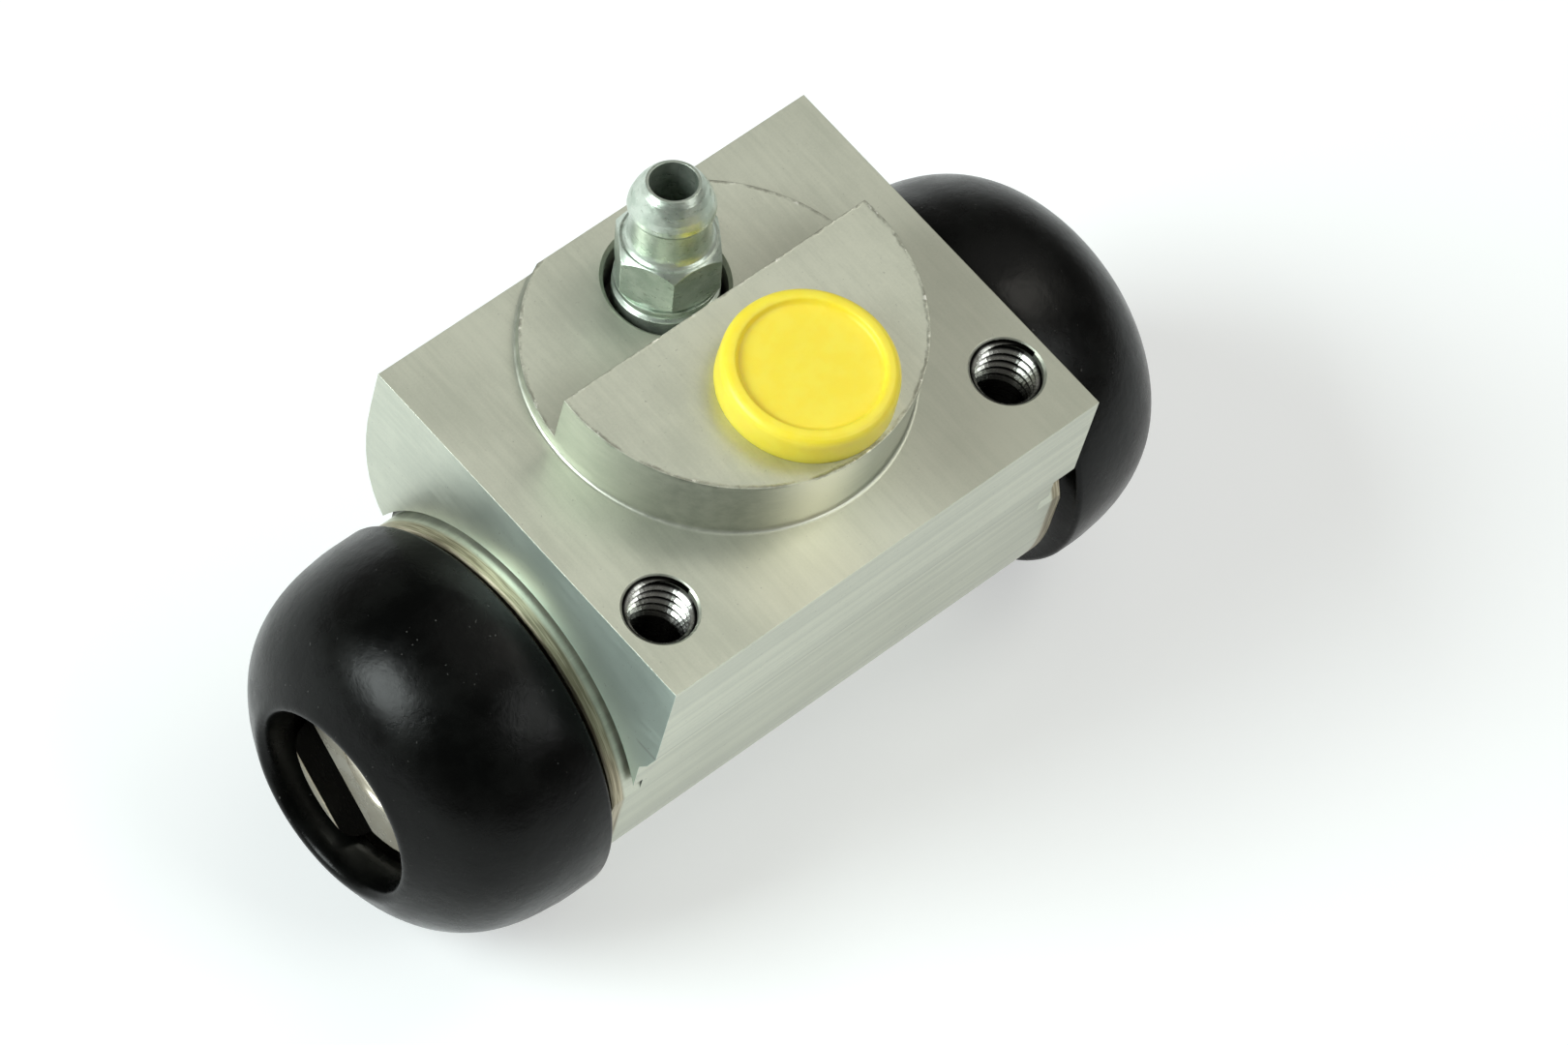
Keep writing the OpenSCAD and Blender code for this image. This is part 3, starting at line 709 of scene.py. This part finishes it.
def make_threads():
    bolt_look = cut_thread("bolt_thread", (BOLT_X, 0, 0), *BOLT_THREAD)
    inlet_look = cut_thread("inlet_thread", INLET_AT, *INLET_THREAD)
    make_thread("left_thread", (-BOLT_X, 0), *BOLT_THREAD, BOLT_THREAD_TOP, BOLT_TURNS, bolt_look)
    make_thread("right_thread", (BOLT_X, 0), *BOLT_THREAD, BOLT_THREAD_TOP, BOLT_TURNS, bolt_look)
    make_thread("inlet_thread", INLET_AT, *INLET_THREAD, INLET_THREAD_TOP, INLET_TURNS, inlet_look)


# Slotted pistons: sizes in millimetres, the seat's as half depth, half length and half width

PISTON_SEGMENTS = 96
PISTON_CORE_R = 0.5
PISTON_LAND_END = 26.5
PISTON_BEVEL = 0.4
NOSE_R = 7.8
NOSE_FACE_R = 6.5
NOSE_CURVE = ((-2.6, 0), (-1.3, -0.05), (-0.1, -0.4))
NOSE_STEPS = 14
SLOT_CLEAR = 2
SEAT_HALF = (1.1, 4.1, 3.7)
SEAT_RINGS = 20
SEAT_POLES = (0.001, 0.999)
SHARP_ANGLE = math.radians(30)


def lathe(name, outline, material):
    """Solid turned about the bore from an outline of (along the bore, radius)."""
    points = []
    for step in range(PISTON_SEGMENTS):
        angle = TURN * step / PISTON_SEGMENTS
        points += [(along, AXIS_Y + radius * math.cos(angle), AXIS_Z + radius * math.sin(angle))
                   for along, radius in outline]
    last = len(outline) - 1
    faces = grid_faces(PISTON_SEGMENTS, len(outline), True, False)
    faces += [[step * len(outline) + place for step in range(PISTON_SEGMENTS)] for place in (0, last)]
    return make_piece(name, points, faces, material)


def in_slot(along, lengthways, sideways):
    """A point of the frame from its place along the bore and in the slot."""
    return (along, AXIS_Y + lengthways * math.cos(SLOT_TURN) + sideways * math.sin(SLOT_TURN),
            AXIS_Z + lengthways * math.sin(SLOT_TURN) - sideways * math.cos(SLOT_TURN))


def slot_cutter(side, material):
    """Box that cuts the slot right across a piston's nose."""
    reach = 2 * NOSE_R
    corners = ((-reach, -SLOT_HALF), (reach, -SLOT_HALF), (reach, SLOT_HALF), (-reach, SLOT_HALF))
    points = [in_slot(side * along, lengthways, sideways)
              for along in (SLOT_FLOOR, NOSE_TIP + SLOT_CLEAR) for lengthways, sideways in corners]
    faces = [(0, 1, 2, 3), (4, 5, 6, 7)] + [(k, (k + 1) % 4, (k + 1) % 4 + 4, k + 4) for k in range(4)]
    return make_piece("slot_cutter", points, faces, material)


def seat_cutter(side, material):
    """Flattened ball that presses the shallow seat for the shoe into the slot's floor."""
    deep, long, wide = SEAT_HALF
    first_pole, last_pole = SEAT_POLES
    points = []
    for ring in range(SEAT_RINGS + 1):
        tilt = math.pi * min(max(ring / SEAT_RINGS, first_pole), last_pole)
        for step in range(PISTON_SEGMENTS):
            angle = TURN * step / PISTON_SEGMENTS
            points.append(in_slot(side * (SLOT_FLOOR + deep * math.cos(tilt)),
                                  long * math.sin(tilt) * math.cos(angle),
                                  wide * math.sin(tilt) * math.sin(angle)))
    faces = grid_faces(SEAT_RINGS + 1, PISTON_SEGMENTS, False, True)
    faces += [[ring * PISTON_SEGMENTS + step for step in range(PISTON_SEGMENTS)] for ring in (0, SEAT_RINGS)]
    return make_piece("seat_cutter", points, faces, material)


def carve(piece, cutters):
    """Cuts the cutters out of a piece and removes them."""
    for cutter in cutters:
        tool = piece.modifiers.new(cutter.name, "BOOLEAN")
        tool.operation = "DIFFERENCE"
        tool.solver = "EXACT"
        tool.object = cutter
    graph = bpy.context.evaluated_depsgraph_get()
    carved = bpy.data.meshes.new_from_object(piece.evaluated_get(graph))
    piece.modifiers.clear()
    piece.data = carved
    for cutter in cutters:
        bpy.data.objects.remove(cutter)
    carved.set_sharp_from_angle(angle=SHARP_ANGLE)


def make_piston(name, side):
    """Stepped piston with a rounded nose, cut across by the slot for the shoe's web."""
    low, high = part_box(name)
    slide_r = (high.y - low.y) / MM / 2
    inner = min(abs(low.x), abs(high.x)) / MM
    outline = [(inner, PISTON_CORE_R), (inner, slide_r - PISTON_BEVEL), (inner + PISTON_BEVEL, slide_r),
               (PISTON_LAND_END - PISTON_BEVEL, slide_r), (PISTON_LAND_END, slide_r - PISTON_BEVEL),
               (PISTON_LAND_END, NOSE_R)]
    outline += bezier(moved((NOSE_TIP, NOSE_R), NOSE_CURVE) + [(NOSE_TIP, NOSE_FACE_R)], NOSE_STEPS)
    outline += [(NOSE_TIP, NOSE_FACE_R), (NOSE_TIP, PISTON_CORE_R)]
    piston = lathe(name + "_metal", [(side * along, radius) for along, radius in outline], LOOKS["piston"])
    carve(piston, [slot_cutter(side, LOOKS["piston"]), seat_cutter(side, LOOKS["piston"])])
    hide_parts(name)
    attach(piston, name)


def make_half_spring(name, side):
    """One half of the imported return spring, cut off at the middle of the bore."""
    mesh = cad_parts["return_spring"].data.copy()
    shell = bmesh.new()
    shell.from_mesh(mesh)
    bmesh.ops.bisect_plane(shell, geom=shell.verts[:] + shell.edges[:] + shell.faces[:], plane_co=(0, 0, 0),
                           plane_no=(side, 0, 0), clear_inner=True)
    bmesh.ops.holes_fill(shell, edges=[edge for edge in shell.edges if edge.is_boundary])
    shell.to_mesh(mesh)
    shell.free()
    wire = bpy.data.objects.new(name + "_half_spring", mesh)
    bpy.context.collection.objects.link(wire)
    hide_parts("return_spring")
    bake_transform(wire)


# Stage: lengths in metres

CLIP_START = 0.01
CLIP_END = 50


def make_camera():
    azimuth, elevation, roll = (math.radians(a) for a in (CAMERA_AZIMUTH, CAMERA_ELEVATION, CAMERA_ROLL))
    back = Vector((math.sin(azimuth) * math.cos(elevation), -math.cos(azimuth) * math.cos(elevation),
                   math.sin(elevation)))
    right = (-back).cross(Vector((0, 0, 1))).normalized()
    up = right.cross(-back)
    rolled_right = right * math.cos(roll) + up * math.sin(roll)
    rolled_up = up * math.cos(roll) - right * math.sin(roll)
    camera = bpy.data.objects.new("camera", bpy.data.cameras.new("camera"))
    place = rolled_right * CAMERA_ASIDE[0] + rolled_up * CAMERA_ASIDE[1] + back * CAMERA_DISTANCE
    turn = Matrix((rolled_right, rolled_up, back)).transposed().to_4x4()
    camera.matrix_world = Matrix.Translation(place * MM) @ turn
    camera.data.sensor_fit = "HORIZONTAL"
    camera.data.sensor_width = SENSOR_MM
    camera.data.lens = FOCAL_PX / IMAGE_WIDTH * SENSOR_MM
    camera.data.clip_start = CLIP_START
    camera.data.clip_end = CLIP_END
    bpy.context.collection.objects.link(camera)
    bpy.context.scene.camera = camera


# Softboxes, all square: place, length of a side, power in watts and colour
SOFTBOXES = {
    "key": ((-0.64, 0.32, 0.48), 0.43, 7.8, (0.92, 1.0, 0.985)),
    "fill": ((0.31, -0.52, 0.60), 0.4, 1.75, (0.97, 1.0, 0.98)),
    "back": ((0.44, -0.03, 0.64), 0.26, 0.64, (1.0, 0.97, 0.88)),
}


def make_softbox(name, place, size, watts, colour):
    """Area light that faces the middle of the bore."""
    light = bpy.data.lights.new(name, "AREA")
    light.shape = "RECTANGLE"
    light.size = size
    light.size_y = size
    light.energy = watts
    light.color = colour
    lamp = bpy.data.objects.new(name, light)
    lamp.location = place
    towards = Vector((0, AXIS_Y * MM, AXIS_Z * MM)) - lamp.location
    lamp.rotation_euler = towards.to_track_quat("-Z", "Y").to_euler()
    bpy.context.collection.objects.link(lamp)


SKY_COLOUR = rgb(1.0, 0.985, 0.92)
SKY_HEIGHTS = (0.0, 0.6)
SKY_ZENITH = 0.10
SKY_SIDES = 0.26
PATCH_TOWARDS = (0.50, 0.12, 0.86)
PATCH_EDGE = (0.80, 0.95)
PATCH_LEVEL = 0.60


def make_world():
    """Dim grey room, lighter towards the sides, with one pale patch high up behind the object."""
    world = bpy.data.worlds.new("studio")
    world.use_nodes = True
    nodes, links = world.node_tree.nodes, world.node_tree.links

    def ramp(value, *limits):
        made = nodes.new("ShaderNodeMapRange")
        made.interpolation_type = "SMOOTHSTEP"
        links.new(value, made.inputs[0])
        for index, limit in enumerate(limits):
            made.inputs[index + 1].default_value = limit
        return made.outputs["Result"]

    direction = nodes.new("ShaderNodeTexCoord").outputs["Generated"]
    split = nodes.new("ShaderNodeSeparateXYZ")
    along = nodes.new("ShaderNodeVectorMath")
    along.operation = "DOT_PRODUCT"
    along.inputs[1].default_value = Vector(PATCH_TOWARDS).normalized()
    total = nodes.new("ShaderNodeMath")
    links.new(direction, split.inputs[0])
    links.new(direction, along.inputs[0])
    links.new(ramp(split.outputs["Z"], *SKY_HEIGHTS, SKY_SIDES, SKY_ZENITH), total.inputs[0])
    links.new(ramp(along.outputs["Value"], *PATCH_EDGE, 0.0, PATCH_LEVEL), total.inputs[1])
    back = nodes["Background"]
    back.inputs["Color"].default_value = SKY_COLOUR
    links.new(total.outputs[0], back.inputs["Strength"])
    bpy.context.scene.world = world


FLOOR_SIZE = 6.0
FLOOR_GLOW = 0.385


def make_floor():
    """White table: a matt sheet that keeps the shadow and glows a little to the eye and to mirrors."""
    half = FLOOR_SIZE / MM / 2
    look = Look("white_table")
    path = look.add("ShaderNodeLightPath")
    seen = look.math("MAXIMUM", path.outputs["Is Camera Ray"],
                     look.math("MAXIMUM", path.outputs["Is Glossy Ray"], path.outputs["Is Transmission Ray"]))
    look.set(Base_Color=rgb(0.70, 0.725, 0.73), Roughness=0.9, Specular_IOR_Level=0.0)
    look.set(Emission_Color=rgb(1, 1, 1), Emission_Strength=look.math("MULTIPLY", seen, FLOOR_GLOW))
    corners = [(x * half, y * half, FLOOR_Z) for x, y in ((-1, -1), (1, -1), (1, 1), (-1, 1))]
    floor = make_piece("table", corners, [(0, 1, 2, 3)], look.material)


dress_frame()
make_boot("left_boot", -1)
make_boot("right_boot", 1)
make_threads()
make_piston("left_piston", -1)
make_piston("right_piston", 1)
make_half_spring("left", -1)
make_half_spring("right", 1)
make_camera()
make_world()
make_floor()
for softbox, settings in SOFTBOXES.items():
    make_softbox(softbox, *settings)
bpy.context.scene.view_settings.view_transform = "Standard"
